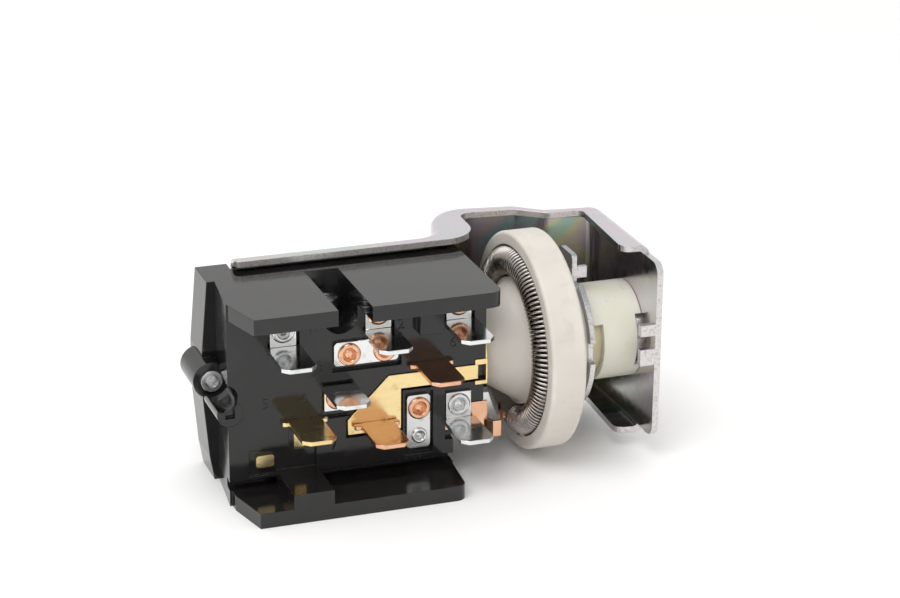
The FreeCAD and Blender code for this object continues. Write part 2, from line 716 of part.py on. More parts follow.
def strip(label, spans, rivets):
    """A flat link strip on its seat, with rounded corners."""
    plate = block(spans[0], (f"{FLOOR} - blade", FLOOR), spans[1])
    plate = rounded(plate, "0.8", lambda middle, edge: along(edge, "y"))
    holes = [rod("y", place, (f"{FLOOR} - 2", f"{FLOOR} + 1"), "eyelet_shank") for place in rivets]
    return node(cut(plate, *holes), label)


def eyelet(place, flange, bore="eyelet_bore"):
    """A tubular rivet through a leg and the face wall, closed by a dimple at the bottom."""
    outer = rod("y", place, (f"{FLOOR} - blade - eyelet_head", f"{FLOOR} - blade"), flange)
    shank = rod("y", place, (f"{FLOOR} - blade", "-face + face_wall"), "eyelet_shank")
    inner = rod("y", place, ("-face + face_wall", "-face + face_wall + eyelet_head"), "eyelet_inner")
    well = rod("y", place, (f"{FLOOR} - blade - 1", f"{FLOOR} + 0.6"), bore)
    return cut(fuse(outer, shank, inner), well)


def feed_strip():
    """Brass strip that feeds the rheostat hub, cut away round the link strip."""
    plate = prism("xz", FEED, (f"{FLOOR} - blade", FLOOR))
    place, top = STRAIGHT["terminal_rheostat"]
    slot = block((f"{place} - leg_width/2", f"{place} + leg_width/2"), (f"{FLOOR} - 2", f"{FLOOR} + 1"),
                 (f"{top} - blade", top))
    return node(cut(plate, slot), "feed_strip")


def hub_contact_spring():
    """Brass ring at the end of the rheostat hub, with feet folded onto the terminal face."""
    ring = rod("x", ("0", "0"), ("-case_front_end", "0.3 - case_front_end"), "hub_radius + 2")
    wall = ("-case_front_end", "0.3 - case_front_end")
    tongue = block(wall, (f"{FACE} - 0.3", "-4"), ("-4.3", "0.6"))
    feet = [block(("-35.7", wall[1]), (f"{FACE} - 0.3", FACE), span)
            for span in (("-0.4", "0.6"), ("-4.3", "-3.6"))]
    hole = rod("x", ("0", "0"), ("-case_front_end - 1", "2 - case_front_end"), "hub_bore + 0.3")
    return node(cut(fuse(ring, tongue, *feet), hole), "hub_contact_spring")


def wiper_strip():
    """Copper leaf under the instrument terminal, curled in to the face of the resistance coil."""
    reach = "-coil_place - coil_tube - 0.1"
    outer, inner = f"{reach} - 0.6", f"{reach} - 0.6 - leaf"
    base = prism("xz", [("-41", "-8.3"), ("-32.8", "-8.3"), ("-32.8", "-13.2"), ("-41", "-13.2")],
                 (FLOOR, f"{FLOOR} + leaf"))
    arm = prism("xy", [
        ("-33.4", f"{FLOOR} + leaf"), ("-33.4", FLOOR), ("-32.2", "-8.9"), ("-30.6", "-8.9"),
        ("-30.2", "-8.3"), (outer, "-2.2"), (outer, "-0.6"), (inner, "-0.6"), (inner, "-2.05"),
        ("-30.57", "-8.15"), ("-30.8", "-8.5"), ("-31.9", "-8.5"), ("-32.8", f"{FLOOR} + leaf")],
        ("-15", "-11.9"))
    button = rod("x", ("-1.7", "-14.0"), (outer, reach), "0.9")
    notch = rod("y", ("-38.7", "-7.9"), (f"{FLOOR} - 1", f"{FLOOR} + 1"), "eyelet_shank")
    return node(cut(fuse(base, arm, button), notch), "wiper_strip")


def sensing_contacts():
    """Two small brass contacts that show in the face."""
    corner = block(("-77.4", "-74.1"), (f"{FACE} - 0.2", f"{FACE} + 0.6"), ("-15.2", "-12.9"))
    window = block(("-70.1", "-67.7"), (f"{FACE} + 1.0", f"{FACE} + 1.4"), ("-12.7", "-8.6"))
    node(rounded(corner, "0.5", lambda middle, edge: along(edge, "y")), "sensing_contact")
    node(window, "window_contact")


def circuit_breaker():
    """Bimetal breaker behind the upper hood, between the feed and lamp terminals."""
    inside = "-face + face_wall + eyelet_head"
    rear, front = LEGGED["terminal_feed"][0], LEGGED["terminal_lamp"][0]
    foot = block((f"{rear} - 2", f"{rear} + 2"), (inside, f"{inside} + 0.5"), ("10", "13.6"))
    leaf = block((f"{rear} - 2", f"{front} + 2"), (f"{inside} + 0.5", f"{inside} + 0.8"), ("10", "13.6"))
    node(fuse(foot, leaf), "breaker_bimetal")
    button = rod("y", (front, "upper_rivets"), (inside, f"{inside} + 0.5"), "1.2")
    node(button, "breaker_contact")


# ---------------------------------------------------------------- slider, latch and plunger

SLIDER_FRONT = "(-face + face_wall + eyelet_head + slide_gap)"
LATCH_FRONT = f"({SLIDER_FRONT} + latch_wall)"
SLIDER_BACK = "case_back - back_wall - slide_play"
SLIDER_ENDS = ("-slider_rear", "slider_length - slider_rear")
BRIDGES = {"contact_bridge_rear": ("-77.9", "-66.1"), "contact_bridge_front": ("-60.2", "-52.2")}
BRIDGE_HEIGHT = ("-12.5", "-4.5")


def slider_carriage():
    """Moulded slider that the shaft pulls forward, with seats for its latch, bridges and detent."""
    solid = block(SLIDER_ENDS, (SLIDER_FRONT, SLIDER_BACK),
                  ("-chamber_bottom + slide_play", "chamber_top - slide_play"))
    bore = rod("x", ("0", "0"), ("-slider_rear - 1", "slider_length - slider_rear + 1"), "bore_radius")
    latch_seat = block(("-plunger_place - latch/2 - latch_play", "-plunger_place + latch/2 + latch_play"),
                       (f"{LATCH_FRONT} - latch_play", f"-{LATCH_FRONT} + latch_play"), ("-8", "chamber_top"))
    groove = block(("-slider_rear - 1", "-plunger_place + plunger_radius + 0.2"),
                   ("-plunger_radius - 0.2", "plunger_radius + 0.2"), ("4.6", "chamber_top"))
    seats = [block(widened(span, "0.1"), (f"{SLIDER_FRONT} - 1", f"{SLIDER_FRONT} + bridge_seat"),
                   widened(BRIDGE_HEIGHT, "0.1"))
             for span in BRIDGES.values()]
    ball_hole = rod("y", (BALL[0], BALL[2]), ("ball_spring_foot", "case_back"), "ball_radius + 0.05")
    return node(cut(solid, bore, latch_seat, groove, ball_hole, *seats), "slider_carriage")


def shaft_latch():
    """Steel gate in the slider whose window catches the shaft's groove from below."""
    plate = block(("-plunger_place - latch/2", "-plunger_place + latch/2"), (LATCH_FRONT, f"-{LATCH_FRONT}"),
                  ("-5.6", "chamber_top - slide_play"))
    window = rod("x", ("0", "0"), ("-plunger_place - 2", "-plunger_place + 2"), "bore_radius")
    return node(cut(plate, window), "shaft_latch")


def contact_bridges():
    """Two copper bridges that join pairs of rivets, each pressed out by a bowed leaf spring."""
    back = f"{SLIDER_FRONT} + bridge"
    floor = f"{SLIDER_FRONT} + bridge_seat"
    springs = []
    for label, span in BRIDGES.items():
        plate = block(span, (SLIDER_FRONT, back), BRIDGE_HEIGHT)
        node(rounded(plate, "0.8", lambda middle, edge: along(edge, "y")), label)
        middle = f"({span[0]} + {span[1]})/2"
        foot, crown = f"(({span[1]} - {span[0]})/2 - 0.3)", "1.2"
        springs.append(prism("xy", [
            (f"{middle} - {foot}", floor), (f"{middle} - {crown}", back), (f"{middle} + {crown}", back),
            (f"{middle} + {foot}", floor), (f"{middle} + {foot} - 0.7", floor),
            (f"{middle} + {crown} - 0.07", f"{back} + leaf_spring"),
            (f"{middle} - {crown} + 0.07", f"{back} + leaf_spring"), (f"{middle} - {foot} + 0.7", floor)],
            ("-10.0", "-7.0")))
    node(group(*springs), "bridge_springs")


def detent():
    """Steel ball and spring in the slider that click into three notches of the far shell."""
    ball = doc.addObject("Part::Sphere", "ball")
    ball.setExpression("Radius", bound("ball_radius"))
    for coordinate, place in zip("xyz", BALL):
        ball.setExpression(f"Placement.Base.{coordinate}", bound(place))
    node(ball, "detent_ball")
    now = SIZES_NOW
    foot = now["ball_spring_foot"]
    height = now["case_back"] - now["back_wall"] - 2 * now["ball_radius"] - now["ball_play"] - foot
    start = (now["ball_place"] - now["slider_rear"], foot, -now["ball_drop"])
    node(helix_spring("detent_spring", start, TO_Y, 1.0, height, 4), "detent_spring")


def release_plunger():
    """Push-button that drops the latch clear of the shaft, seen between the hoods."""
    centre = ("-plunger_place", "0")
    stem = rod("z", centre, ("chamber_top + 0.15", "plunger_top"), "plunger_radius")
    collar = rod("z", centre, ("plunger_top - 0.9", "plunger_top - 0.2"), "plunger_radius + 0.8")
    dimple = rod("z", centre, ("plunger_top - 0.5", "plunger_top + 1"), "plunger_radius - 0.5")
    node(cut(fuse(stem, collar), dimple), "release_plunger")
    start = (-SIZES_NOW["plunger_place"], 0, SIZES_NOW["channel_bottom"])
    height = SIZES_NOW["plunger_top"] - 0.9 - SIZES_NOW["channel_bottom"]
    node(helix_spring("plunger_spring", start, FreeCAD.Rotation(), SIZES_NOW["plunger_radius"] + 0.5,
                      height, 3), "plunger_spring")


# ---------------------------------------------------------------- rheostat

def sector(span, radius, start, sweep):
    """A cylinder sector on the shaft axis; angles run from +Y towards +Z."""
    item = doc.addObject("Part::Cylinder", "sector")
    turn = FreeCAD.Rotation(FreeCAD.Vector(0, 0, 1), start)
    item.Placement = FreeCAD.Placement(FreeCAD.Vector(), SHAFT_TURN * turn)
    item.setExpression("Radius", bound(radius))
    item.setExpression("Height", bound(f"({span[1]}) - ({span[0]})"))
    item.setExpression("Placement.Base.x", bound(span[0]))
    item.Angle = sweep
    return item


# turns Z onto +X and X onto +Y
SHAFT_TURN = FreeCAD.Rotation(FreeCAD.Vector(0, 1, 0), FreeCAD.Vector(0, 0, 1),
                              FreeCAD.Vector(1, 0, 0), "ZXY")
COIL_PINS = (("coil_start", "4"), ("coil_start + coil_sweep", "-4"))


def rheostat_ring():
    """Porcelain former: deep ring with an annular seat for the coil, a conical hub and a front boss."""
    ring = rod("x", ("0", "0"), ("-ring_rear", "-ring_front"), "ring_radius")
    ring = rounded(ring, "0.7", lambda middle, edge: edge.Curve.TypeId == "Part::GeomCircle")
    seat_span = ("-ring_rear - 1", "groove_depth - ring_rear")
    seat = cut(rod("x", ("0", "0"), seat_span, "rim_radius"),
               rod("x", ("0", "0"), ("-ring_rear - 2", "groove_depth - ring_rear + 1"), "groove_inner"))
    hub = cone(("-hub_end", "-ring_rear + 0.5"), ("hub_radius", "groove_inner - 0.3"))
    boss = rod("x", ("0", "0"), ("-ring_front - 1", "-driver_rear"), "front_boss")
    bore = rod("x", ("0", "0"), ("-hub_end - 1", "-driver_rear + 1"), "hub_bore")
    return node(cut(fuse(cut(ring, seat), hub, boss), bore), "rheostat_ring")


def resistance_coil():
    """Envelope of the wound nichrome coil, an arc of a torus in the ring's seat."""
    item = doc.addObject("Part::Torus", "coil")
    item.setExpression("Radius1", bound("coil_radius"))
    item.setExpression("Radius2", bound("coil_tube"))
    item.setExpression("Angle3", bound("coil_sweep"))
    start = FreeCAD.Rotation(FreeCAD.Vector(0, 0, 1), SIZES_NOW["coil_start"])
    item.Placement = FreeCAD.Placement(FreeCAD.Vector(), SHAFT_TURN * start)
    item.setExpression("Placement.Base.x", bound("-coil_place"))
    return node(item, "resistance_coil")


def driver_plate():
    """Zinc-plated plate that turns the ring: three lobes, and a tab that meets the bracket's stop."""
    span = ("-driver_rear", "driver - driver_rear")
    disc = rod("x", ("0", "0"), span, "driver_radius")
    lobes = [sector(span, "lobe_radius", angle, 50) for angle in (15, 118, 185)]
    tab = block(span, ("-tab_half", "tab_half"), ("driver_radius - 2", "tab_top"))
    tab = rounded(tab, "0.9", lambda middle, edge: along(edge, "x") and near(middle.z, SIZES_NOW["tab_top"]))
    lug = block(("driver - driver_rear - 0.1", "driver - driver_rear + 2"), ("-tab_half", "0.9 - tab_half"),
                ("tab_top - 4.6", "tab_top - 2.4"))
    bore = rod("x", ("0", "0"), ("-driver_rear - 1", "driver - driver_rear + 1"), "bore_radius + 0.3")
    return node(cut(fuse(disc, *lobes, tab, lug), bore), "driver_plate")


def drive_sleeve():
    """Nylon sleeve that runs on the ferrule and keys the shaft to the driver plate."""
    front = "-retainer - steel - run_play"
    rear = "driver - driver_rear"
    tube = rod("x", ("0", "0"), ("-sleeve_rear", front), "sleeve_radius")
    skirt = sector((rear, "0.1 - sleeve_rear"), "sleeve_radius", -60, 212)
    bore = rod("x", ("0", "0"), ("-sleeve_rear - 0.2", "0"), "ferrule_radius + run_play")
    skirt_bore = rod("x", ("0", "0"), (f"{rear} - 1", "-sleeve_rear"), "bush_radius")
    notches = [block((f"{front} - sleeve_notch", "0"), span, ("-4.6", "5.4"))
               for span in (("-sleeve_radius - 1", "-3"), ("3", "sleeve_radius + 1"))]
    return node(cut(fuse(tube, skirt), bore, skirt_bore, *notches), "drive_sleeve")


def drive_bush():
    """Cream bush inside the sleeve, bored for the shaft."""
    flange = rod("x", ("0", "0"), ("driver - driver_rear", "-sleeve_rear"), "bush_radius")
    spigot = rod("x", ("0", "0"), ("-sleeve_rear", "-ferrule_depth - 0.6"), "ferrule_radius + run_play")
    bore = rod("x", ("0", "0"), ("-driver_rear - 1", "-ferrule_depth + 1"), "bore_radius")
    return node(cut(fuse(flange, spigot), bore), "drive_bush")


# ---------------------------------------------------------------- assembly

mounting_bracket()
retaining_plate()
threaded_ferrule()
terminal_housing()
rear_case()
bracket_screws()
case_rivet()
for name, (place, top, rivet, end) in LEGGED.items():
    legged_terminal(name, place, top, rivet, end)
for name, (place, top) in STRAIGHT.items():
    straight_terminal(name, place, top)
strip("upper_link", UPPER_LINK, UPPER_LINK_RIVETS)
strip("lower_link", LOWER_LINK, LOWER_LINK_RIVETS)
leg_rivet = {label: (values[0], values[2]) for label, values in LEGGED.items()}
copper = [leg_rivet["terminal_feed"], leg_rivet["terminal_lamp"], leg_rivet["terminal_dimmer"],
          *UPPER_LINK_RIVETS, LOWER_LINK_RIVETS[0]]
zinc = [leg_rivet["terminal_tail"], leg_rivet["terminal_instrument"]]
node(group(*[eyelet(place, "eyelet_radius") for place in copper]), "copper_rivets")
node(group(*[eyelet(place, "eyelet_radius") for place in zinc]), "zinc_eyelets")
node(eyelet(LOWER_LINK_RIVETS[1], "small_eyelet", "small_eyelet - 0.6"), "small_eyelet")
feed_strip()
hub_contact_spring()
wiper_strip()
sensing_contacts()
circuit_breaker()
slider_carriage()
shaft_latch()
contact_bridges()
detent()
release_plunger()
rheostat_ring()
resistance_coil()
driver_plate()
drive_sleeve()
drive_bush()
doc.recompute()

for item in doc.Objects:
    if "Invalid" in item.State or "Error" in item.State:
        raise RuntimeError(f"{item.Label} did not rebuild: {item.State}")
for label, item in nodes.items():
    if item.Shape.isNull() or not item.Shape.isValid():
        raise RuntimeError(f"{label} has no valid shape")

os.makedirs("parts", exist_ok=True)
for label, item in nodes.items():
    item.Shape.exportStep(os.path.join("parts", f"{label}.step"))
print(len(nodes), "sub-parts written")
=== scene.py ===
import json
import math
import random

import bmesh
import bpy
from mathutils import Matrix, Vector


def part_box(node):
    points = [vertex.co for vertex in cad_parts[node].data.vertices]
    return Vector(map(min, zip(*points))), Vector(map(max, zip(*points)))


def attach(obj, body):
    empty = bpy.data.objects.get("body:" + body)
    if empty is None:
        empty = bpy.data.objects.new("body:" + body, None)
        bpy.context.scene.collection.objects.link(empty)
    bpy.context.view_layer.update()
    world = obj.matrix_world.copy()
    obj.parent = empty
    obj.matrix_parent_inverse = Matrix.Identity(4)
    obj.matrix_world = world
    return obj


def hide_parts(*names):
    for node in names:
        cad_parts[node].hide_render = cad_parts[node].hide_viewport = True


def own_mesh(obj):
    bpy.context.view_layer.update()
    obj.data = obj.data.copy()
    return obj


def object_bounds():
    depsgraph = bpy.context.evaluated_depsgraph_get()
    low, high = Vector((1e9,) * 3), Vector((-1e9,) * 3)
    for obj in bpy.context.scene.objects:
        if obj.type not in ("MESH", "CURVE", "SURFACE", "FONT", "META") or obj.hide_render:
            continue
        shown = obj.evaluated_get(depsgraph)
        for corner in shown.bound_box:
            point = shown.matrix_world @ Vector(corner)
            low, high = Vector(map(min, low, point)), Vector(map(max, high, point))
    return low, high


# Push-pull lighting switch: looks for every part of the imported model.
# Everything is in metres, in the model's own frame: +X out of the panel, terminals along -Y.

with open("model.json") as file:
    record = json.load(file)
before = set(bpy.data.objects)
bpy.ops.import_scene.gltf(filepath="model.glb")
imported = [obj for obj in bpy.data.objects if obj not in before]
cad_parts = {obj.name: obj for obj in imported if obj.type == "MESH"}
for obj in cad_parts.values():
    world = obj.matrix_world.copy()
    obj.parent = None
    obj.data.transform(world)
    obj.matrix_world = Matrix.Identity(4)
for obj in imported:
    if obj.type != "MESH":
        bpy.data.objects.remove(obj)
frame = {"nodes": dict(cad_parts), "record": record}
CAD_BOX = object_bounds()
MM = 0.001
random.seed(7)

BODY_OF = {node: body for body, members in frame["record"]["behaviour"]["bodies"].items() for node in members}
SLOT_OF = {entry["node"]: entry["material_slot"] for entry in frame["record"]["subparts"]}


# ---------------------------------------------------------------- camera, light and floor

CAMERA_PLACE = Vector((-188.25, -422.52, 179.12)) * MM
CAMERA_AZIMUTH = math.radians(-19.61)
CAMERA_ELEVATION = math.radians(20.69)
CAMERA_ROLL = math.radians(0.47)
LENS_MM = 104.07
SENSOR_MM = 36.0
TENT_COLOUR = (1.0, 0.99, 0.98, 1.0)
TENT_STRENGTH = 0.95
SOFTBOX_SIZE = (0.5, 0.4)
SOFTBOX_WATTS = 2.2
SOFTBOX_PLACE = Vector((-0.30, -0.25, 0.55))
SOFTBOX_AIM = Vector((-0.04, 0.0, 0.0))
FLOOR_HALF = 3.0
PALE = (0.93, 0.93, 0.93, 1.0)


def add_camera():
    """Camera at the photographed viewing angle."""
    azimuth, elevation = CAMERA_AZIMUTH, CAMERA_ELEVATION
    right = Vector((math.cos(azimuth), math.sin(azimuth), 0))
    up = Vector((-math.sin(azimuth) * math.sin(elevation), math.cos(azimuth) * math.sin(elevation),
                 math.cos(elevation)))
    back = right.cross(up)
    turned = Matrix((right, up, back)).transposed() @ Matrix.Rotation(CAMERA_ROLL, 3, "Z")
    data = bpy.data.cameras.new("camera")
    data.sensor_fit = "HORIZONTAL"
    data.sensor_width = SENSOR_MM
    data.lens = LENS_MM
    data.clip_start = 0.01
    camera = bpy.data.objects.new("camera", data)
    camera.matrix_world = Matrix.Translation(CAMERA_PLACE) @ turned.to_4x4()
    bpy.context.scene.collection.objects.link(camera)
    bpy.context.scene.camera = camera


def add_light():
    """A light tent: white from all sides, and a large soft lamp above on the left."""
    world = bpy.data.worlds.new("tent")
    world.use_nodes = True
    background = world.node_tree.nodes["Background"]
    background.inputs["Color"].default_value = TENT_COLOUR
    background.inputs["Strength"].default_value = TENT_STRENGTH
    bpy.context.scene.world = world
    lamp = bpy.data.lights.new("softbox", "AREA")
    lamp.shape = "RECTANGLE"
    lamp.size, lamp.size_y = SOFTBOX_SIZE
    lamp.energy = SOFTBOX_WATTS
    softbox = bpy.data.objects.new("softbox", lamp)
    turn = (SOFTBOX_AIM - SOFTBOX_PLACE).to_track_quat("-Z", "Y").to_matrix().to_4x4()
    softbox.matrix_world = Matrix.Translation(SOFTBOX_PLACE) @ turn
    bpy.context.scene.collection.objects.link(softbox)


def add_floor():
    """Plain pale floor under the lowest point of the case."""
    low = CAD_BOX[0][2]
    mesh = bpy.data.meshes.new("floor")
    half = FLOOR_HALF
    corners = [(-half, -half, low), (half, -half, low), (half, half, low), (-half, half, low)]
    mesh.from_pydata(corners, [], [(0, 1, 2, 3)])
    floor = bpy.data.objects.new("floor", mesh)
    bpy.context.scene.collection.objects.link(floor)
    paint = Paint("floor_paint", base=PALE[:3], roughness=0.6)
    soft = paint.noise(30, detail=3)
    paint.set("Roughness", paint.span(soft, 0.55, 0.65))
    mesh.materials.append(paint.material)


# ---------------------------------------------------------------- material helpers

class Paint:
    """A procedural material on a Principled shader; textures use the model's own coordinates in metres."""

    def __init__(self, name, base, roughness, metallic=0.0, **sockets):
        self.material = bpy.data.materials.new(name)
        self.material.use_nodes = True
        self.tree = self.material.node_tree
        self.shader = self.tree.nodes["Principled BSDF"]
        self.place = self.tree.nodes.new("ShaderNodeTexCoord").outputs["Object"]
        self.set("Base Color", base)
        self.set("Roughness", roughness)
        self.set("Metallic", metallic)
        for socket, value in sockets.items():
            self.set(socket.replace("_", " "), value)

    def put(self, target, value):
        if isinstance(value, bpy.types.NodeSocket):
            self.tree.links.new(value, target)
        elif isinstance(value, tuple) and target.type == "RGBA":
            target.default_value = (*value, 1.0)[:4]
        else:
            target.default_value = value

    def set(self, socket, value):
        self.put(self.shader.inputs[socket], value)

    def stretched(self, stretch):
        if stretch is None:
            return self.place
        node = self.tree.nodes.new("ShaderNodeMapping")
        self.tree.links.new(self.place, node.inputs["Vector"])
        node.inputs["Scale"].default_value = stretch
        return node.outputs["Vector"]

    def noise(self, per_metre, detail=4.0, stretch=None, distortion=0.0):
        node = self.tree.nodes.new("ShaderNodeTexNoise")
        self.tree.links.new(self.stretched(stretch), node.inputs["Vector"])
        node.inputs["Scale"].default_value = per_metre
        node.inputs["Detail"].default_value = detail
        node.inputs["Distortion"].default_value = distortion
        return node.outputs["Fac"]

    def cells(self, per_metre, stretch=None):
        """Distance from the nearest of many scattered points."""
        node = self.tree.nodes.new("ShaderNodeTexVoronoi")
        self.tree.links.new(self.stretched(stretch), node.inputs["Vector"])
        node.inputs["Scale"].default_value = per_metre
        return node.outputs["Distance"]

    def span(self, value, low, high, start=0.3, end=0.7):
        """The value from start to end becomes low to high."""
        node = self.tree.nodes.new("ShaderNodeMapRange")
        self.tree.links.new(value, node.inputs["Value"])
        for socket, number in (("From Min", start), ("From Max", end), ("To Min", low), ("To Max", high)):
            node.inputs[socket].default_value = number
        return node.outputs["Result"]

    def ramp(self, value, *stops):
        node = self.tree.nodes.new("ShaderNodeValToRGB")
        self.tree.links.new(value, node.inputs["Fac"])
        elements = node.color_ramp.elements
        while len(elements) < len(stops):
            elements.new(0.5)
        for element, (position, colour) in zip(elements, stops):
            element.position = position
            element.color = (*colour, 1.0)
        return node.outputs["Color"]

    def mix(self, share, first, second):
        node = self.tree.nodes.new("ShaderNodeMix")
        node.data_type = "RGBA"
        self.put(node.inputs["Factor"], share)
        self.put(node.inputs[6], first)
        self.put(node.inputs[7], second)
        return node.outputs[2]

    def math(self, operation, first, second):
        node = self.tree.nodes.new("ShaderNodeMath")
        node.operation = operation
        self.put(node.inputs[0], first)
        self.put(node.inputs[1], second)
        return node.outputs[0]

    def rounded(self, radius):
        """Edges read as rounded by this radius. Gives the softened normal and a mask of the edges."""
        bevel = self.tree.nodes.new("ShaderNodeBevel")
        bevel.samples = 6
        bevel.inputs["Radius"].default_value = radius
        geometry = self.tree.nodes.new("ShaderNodeNewGeometry")
        dot = self.tree.nodes.new("ShaderNodeVectorMath")
        dot.operation = "DOT_PRODUCT"
        self.tree.links.new(bevel.outputs["Normal"], dot.inputs[0])
        self.tree.links.new(geometry.outputs["Normal"], dot.inputs[1])
        return bevel.outputs["Normal"], self.span(dot.outputs["Value"], 1.0, 0.0, start=0.8, end=0.99)

    def facing(self, axis, sign, start=0.6, end=0.85):
        """1 where the surface faces along an axis of the model, in the sign's direction."""
        geometry = self.tree.nodes.new("ShaderNodeNewGeometry")
        parts = self.tree.nodes.new("ShaderNodeSeparateXYZ")
        self.tree.links.new(geometry.outputs["True Normal"], parts.inputs["Vector"])
        return self.span(self.math("MULTIPLY", parts.outputs[axis], sign), 0.0, 1.0, start, end)

    def inside(self, axis, low, high):
        """1 where the model's coordinate on an axis lies between two values in metres."""
        parts = self.tree.nodes.new("ShaderNodeSeparateXYZ")
        self.tree.links.new(self.place, parts.inputs["Vector"])
        value = parts.outputs[axis]
        above, below = self.math("GREATER_THAN", value, low), self.math("LESS_THAN", value, high)
        return self.math("MULTIPLY", above, below)

    def bump(self, *layers, normal=None):
        """Layers of (height, depth in metres), one over the other."""
        for height, depth in layers:
            node = self.tree.nodes.new("ShaderNodeBump")
            node.inputs["Distance"].default_value = depth
            self.tree.links.new(height, node.inputs["Height"])
            if normal is not None:
                self.tree.links.new(normal, node.inputs["Normal"])
            normal = node.outputs["Normal"]
        self.tree.links.new(normal, self.shader.inputs["Normal"])


# ---------------------------------------------------------------- materials

# the space inside the bracket's pan, where shade is painted: half height, inside of the front plate along X,
# near limit along Y
INNER_HALF = 0.01763
PLATE_INSIDE = -0.00235
INNER_NEAR = 0.0


def phenolic():
    """Glossy black moulding: faint flow marks, smudges, dust and paler chips along its edges."""
    paint = Paint("phenolic", base=(0.008, 0.0078, 0.008), roughness=0.1, IOR=1.5)
    normal, edges = paint.rounded(0.00018)
    chips = paint.math("MULTIPLY", edges, paint.span(paint.noise(1800, detail=6), 0.0, 1.0, 0.5, 0.62))
    dust = paint.span(paint.cells(520), 0.55, 0.0, 0.012, 0.03)
    film = paint.span(paint.noise(160, detail=9, distortion=1.5), 0.0, 0.5, 0.5, 0.75)
    smudge = paint.noise(70, detail=5, distortion=0.6)
    dark = paint.mix(smudge, (0.0062, 0.0054, 0.0054), (0.012, 0.0112, 0.0112))
    handled = paint.mix(film, dark, (0.019, 0.0178, 0.0172))
    worn = paint.mix(chips, handled, (0.045, 0.043, 0.041))
    paint.set("Base Color", paint.mix(dust, worn, (0.10, 0.095, 0.09)))
    rough = paint.math("ADD", paint.span(smudge, 0.06, 0.15), paint.math("MULTIPLY", film, 0.16))
    paint.set("Roughness", paint.math("ADD", rough, paint.math("MULTIPLY", chips, 0.3)))
    paint.bump((paint.noise(160, detail=2), 0.00003), (paint.noise(5200, detail=3), 0.0000016), normal=normal)
    return paint.material


def plated(name, tints, roughness=(0.14, 0.3), dirt=(0.30, 0.28, 0.27), radius=0.0001):
    """Bright plating over sheet: soft patches of tint, fine rolling lines and handling marks."""
    paint = Paint(name, base=tints[0], roughness=roughness[0], metallic=1.0)
    normal, edges = paint.rounded(radius)
    patches = paint.noise(110, detail=3, distortion=1.2)
    stops = [(0.28 + 0.44 * i / max(1, len(tints) - 1), tint) for i, tint in enumerate(tints)]
    tinted = paint.ramp(patches, *stops)
    stains = paint.span(paint.noise(420, detail=8), 0.0, 0.55, 0.56, 0.75)
    paint.set("Base Color", paint.mix(stains, tinted, dirt))
    lines = paint.noise(900, detail=5, stretch=(0.12, 1.0, 1.0))
    rough = paint.span(lines, *roughness)
    paint.set("Roughness", paint.math("ADD", rough, paint.math("MULTIPLY", stains, 0.25)))
    paint.bump((lines, 0.000004), (paint.noise(300, detail=2), 0.000012), normal=normal)
    return paint.material


def chromate(name, pan):
    """Zinc plating with a passivation film: pale lilac with teal and straw drifts.

    On the bracket's pan, shade is painted inside as darker film tints, and the sheared edges show torn metal.
    """
    paint = Paint(name, base=(0.62, 0.6, 0.62), roughness=0.22, metallic=1.0)
    normal, edges = paint.rounded(0.00015)
    drift = paint.noise(30, detail=2, distortion=0.9)
    film = paint.ramp(drift, (0.30, (0.56, 0.64, 0.64)), (0.40, (0.64, 0.61, 0.65)),
                      (0.50, (0.67, 0.60, 0.66)), (0.60, (0.65, 0.62, 0.58)),
                      (0.68, (0.58, 0.66, 0.63)), (0.76, (0.66, 0.60, 0.65)))
    fringe = paint.mix(paint.math("MULTIPLY", edges, 0.6), film, (0.50, 0.70, 0.70))
    across = paint.math("MULTIPLY", paint.inside(0, -1.0, PLATE_INSIDE), paint.inside(1, INNER_NEAR, 1.0))
    inner = paint.math("MULTIPLY", paint.inside(2, -INNER_HALF, INNER_HALF), across)
    open_side = paint.math("SUBTRACT", 1.0, paint.facing(0, -1.0, 0.8, 0.95))
    # painted shade: inside the bracket's pan, chosen by position, faces not turned out along -X or +Y take
    # dark teal, lilac and straw tints in place of the plain film
    painted_shade_mask = paint.math("MULTIPLY", paint.math("MULTIPLY", inner, open_side),
                           paint.math("SUBTRACT", 1.0, paint.facing(1, 1.0, 0.3, 0.5)))
    painted_shade_tint = paint.ramp(paint.noise(46, detail=3, distortion=1.2), (0.34, (0.27, 0.41, 0.43)),
                         (0.46, (0.43, 0.36, 0.43)), (0.56, (0.46, 0.44, 0.28)), (0.68, (0.29, 0.43, 0.37)))
    plain = paint.mix(painted_shade_mask, fringe, painted_shade_tint) if pan else paint.mix(0.6, fringe, (0.17, 0.23, 0.24))
    sheared = paint.math("MULTIPLY", paint.facing(1, -1.0), paint.math("SUBTRACT", 1.0, inner))
    torn = paint.ramp(paint.noise(2600, detail=5), (0.34, (0.42, 0.40, 0.38)), (0.42, (0.60, 0.58, 0.56)),
                      (0.62, (0.68, 0.65, 0.65)))
    grain = paint.span(paint.noise(3400, detail=6), 0.0, 0.3, 0.5, 0.75)
    coated = paint.mix(grain, plain, (0.30, 0.30, 0.31))
    paint.set("Base Color", paint.mix(sheared, coated, torn))
    streaks = paint.noise(500, detail=4, stretch=(0.1, 1.0, 1.0))
    rough = paint.span(streaks, 0.15, 0.27)
    paint.set("Roughness", paint.math("ADD", rough, paint.math("MULTIPLY", sheared, 0.18)))
    pits = paint.span(paint.cells(1500), 1.0, 0.0, 0.03, 0.2)
    paint.bump((streaks, 0.000002), (paint.noise(1500, detail=4), 0.000003), (pits, 0.000003), normal=normal)
    return paint.material


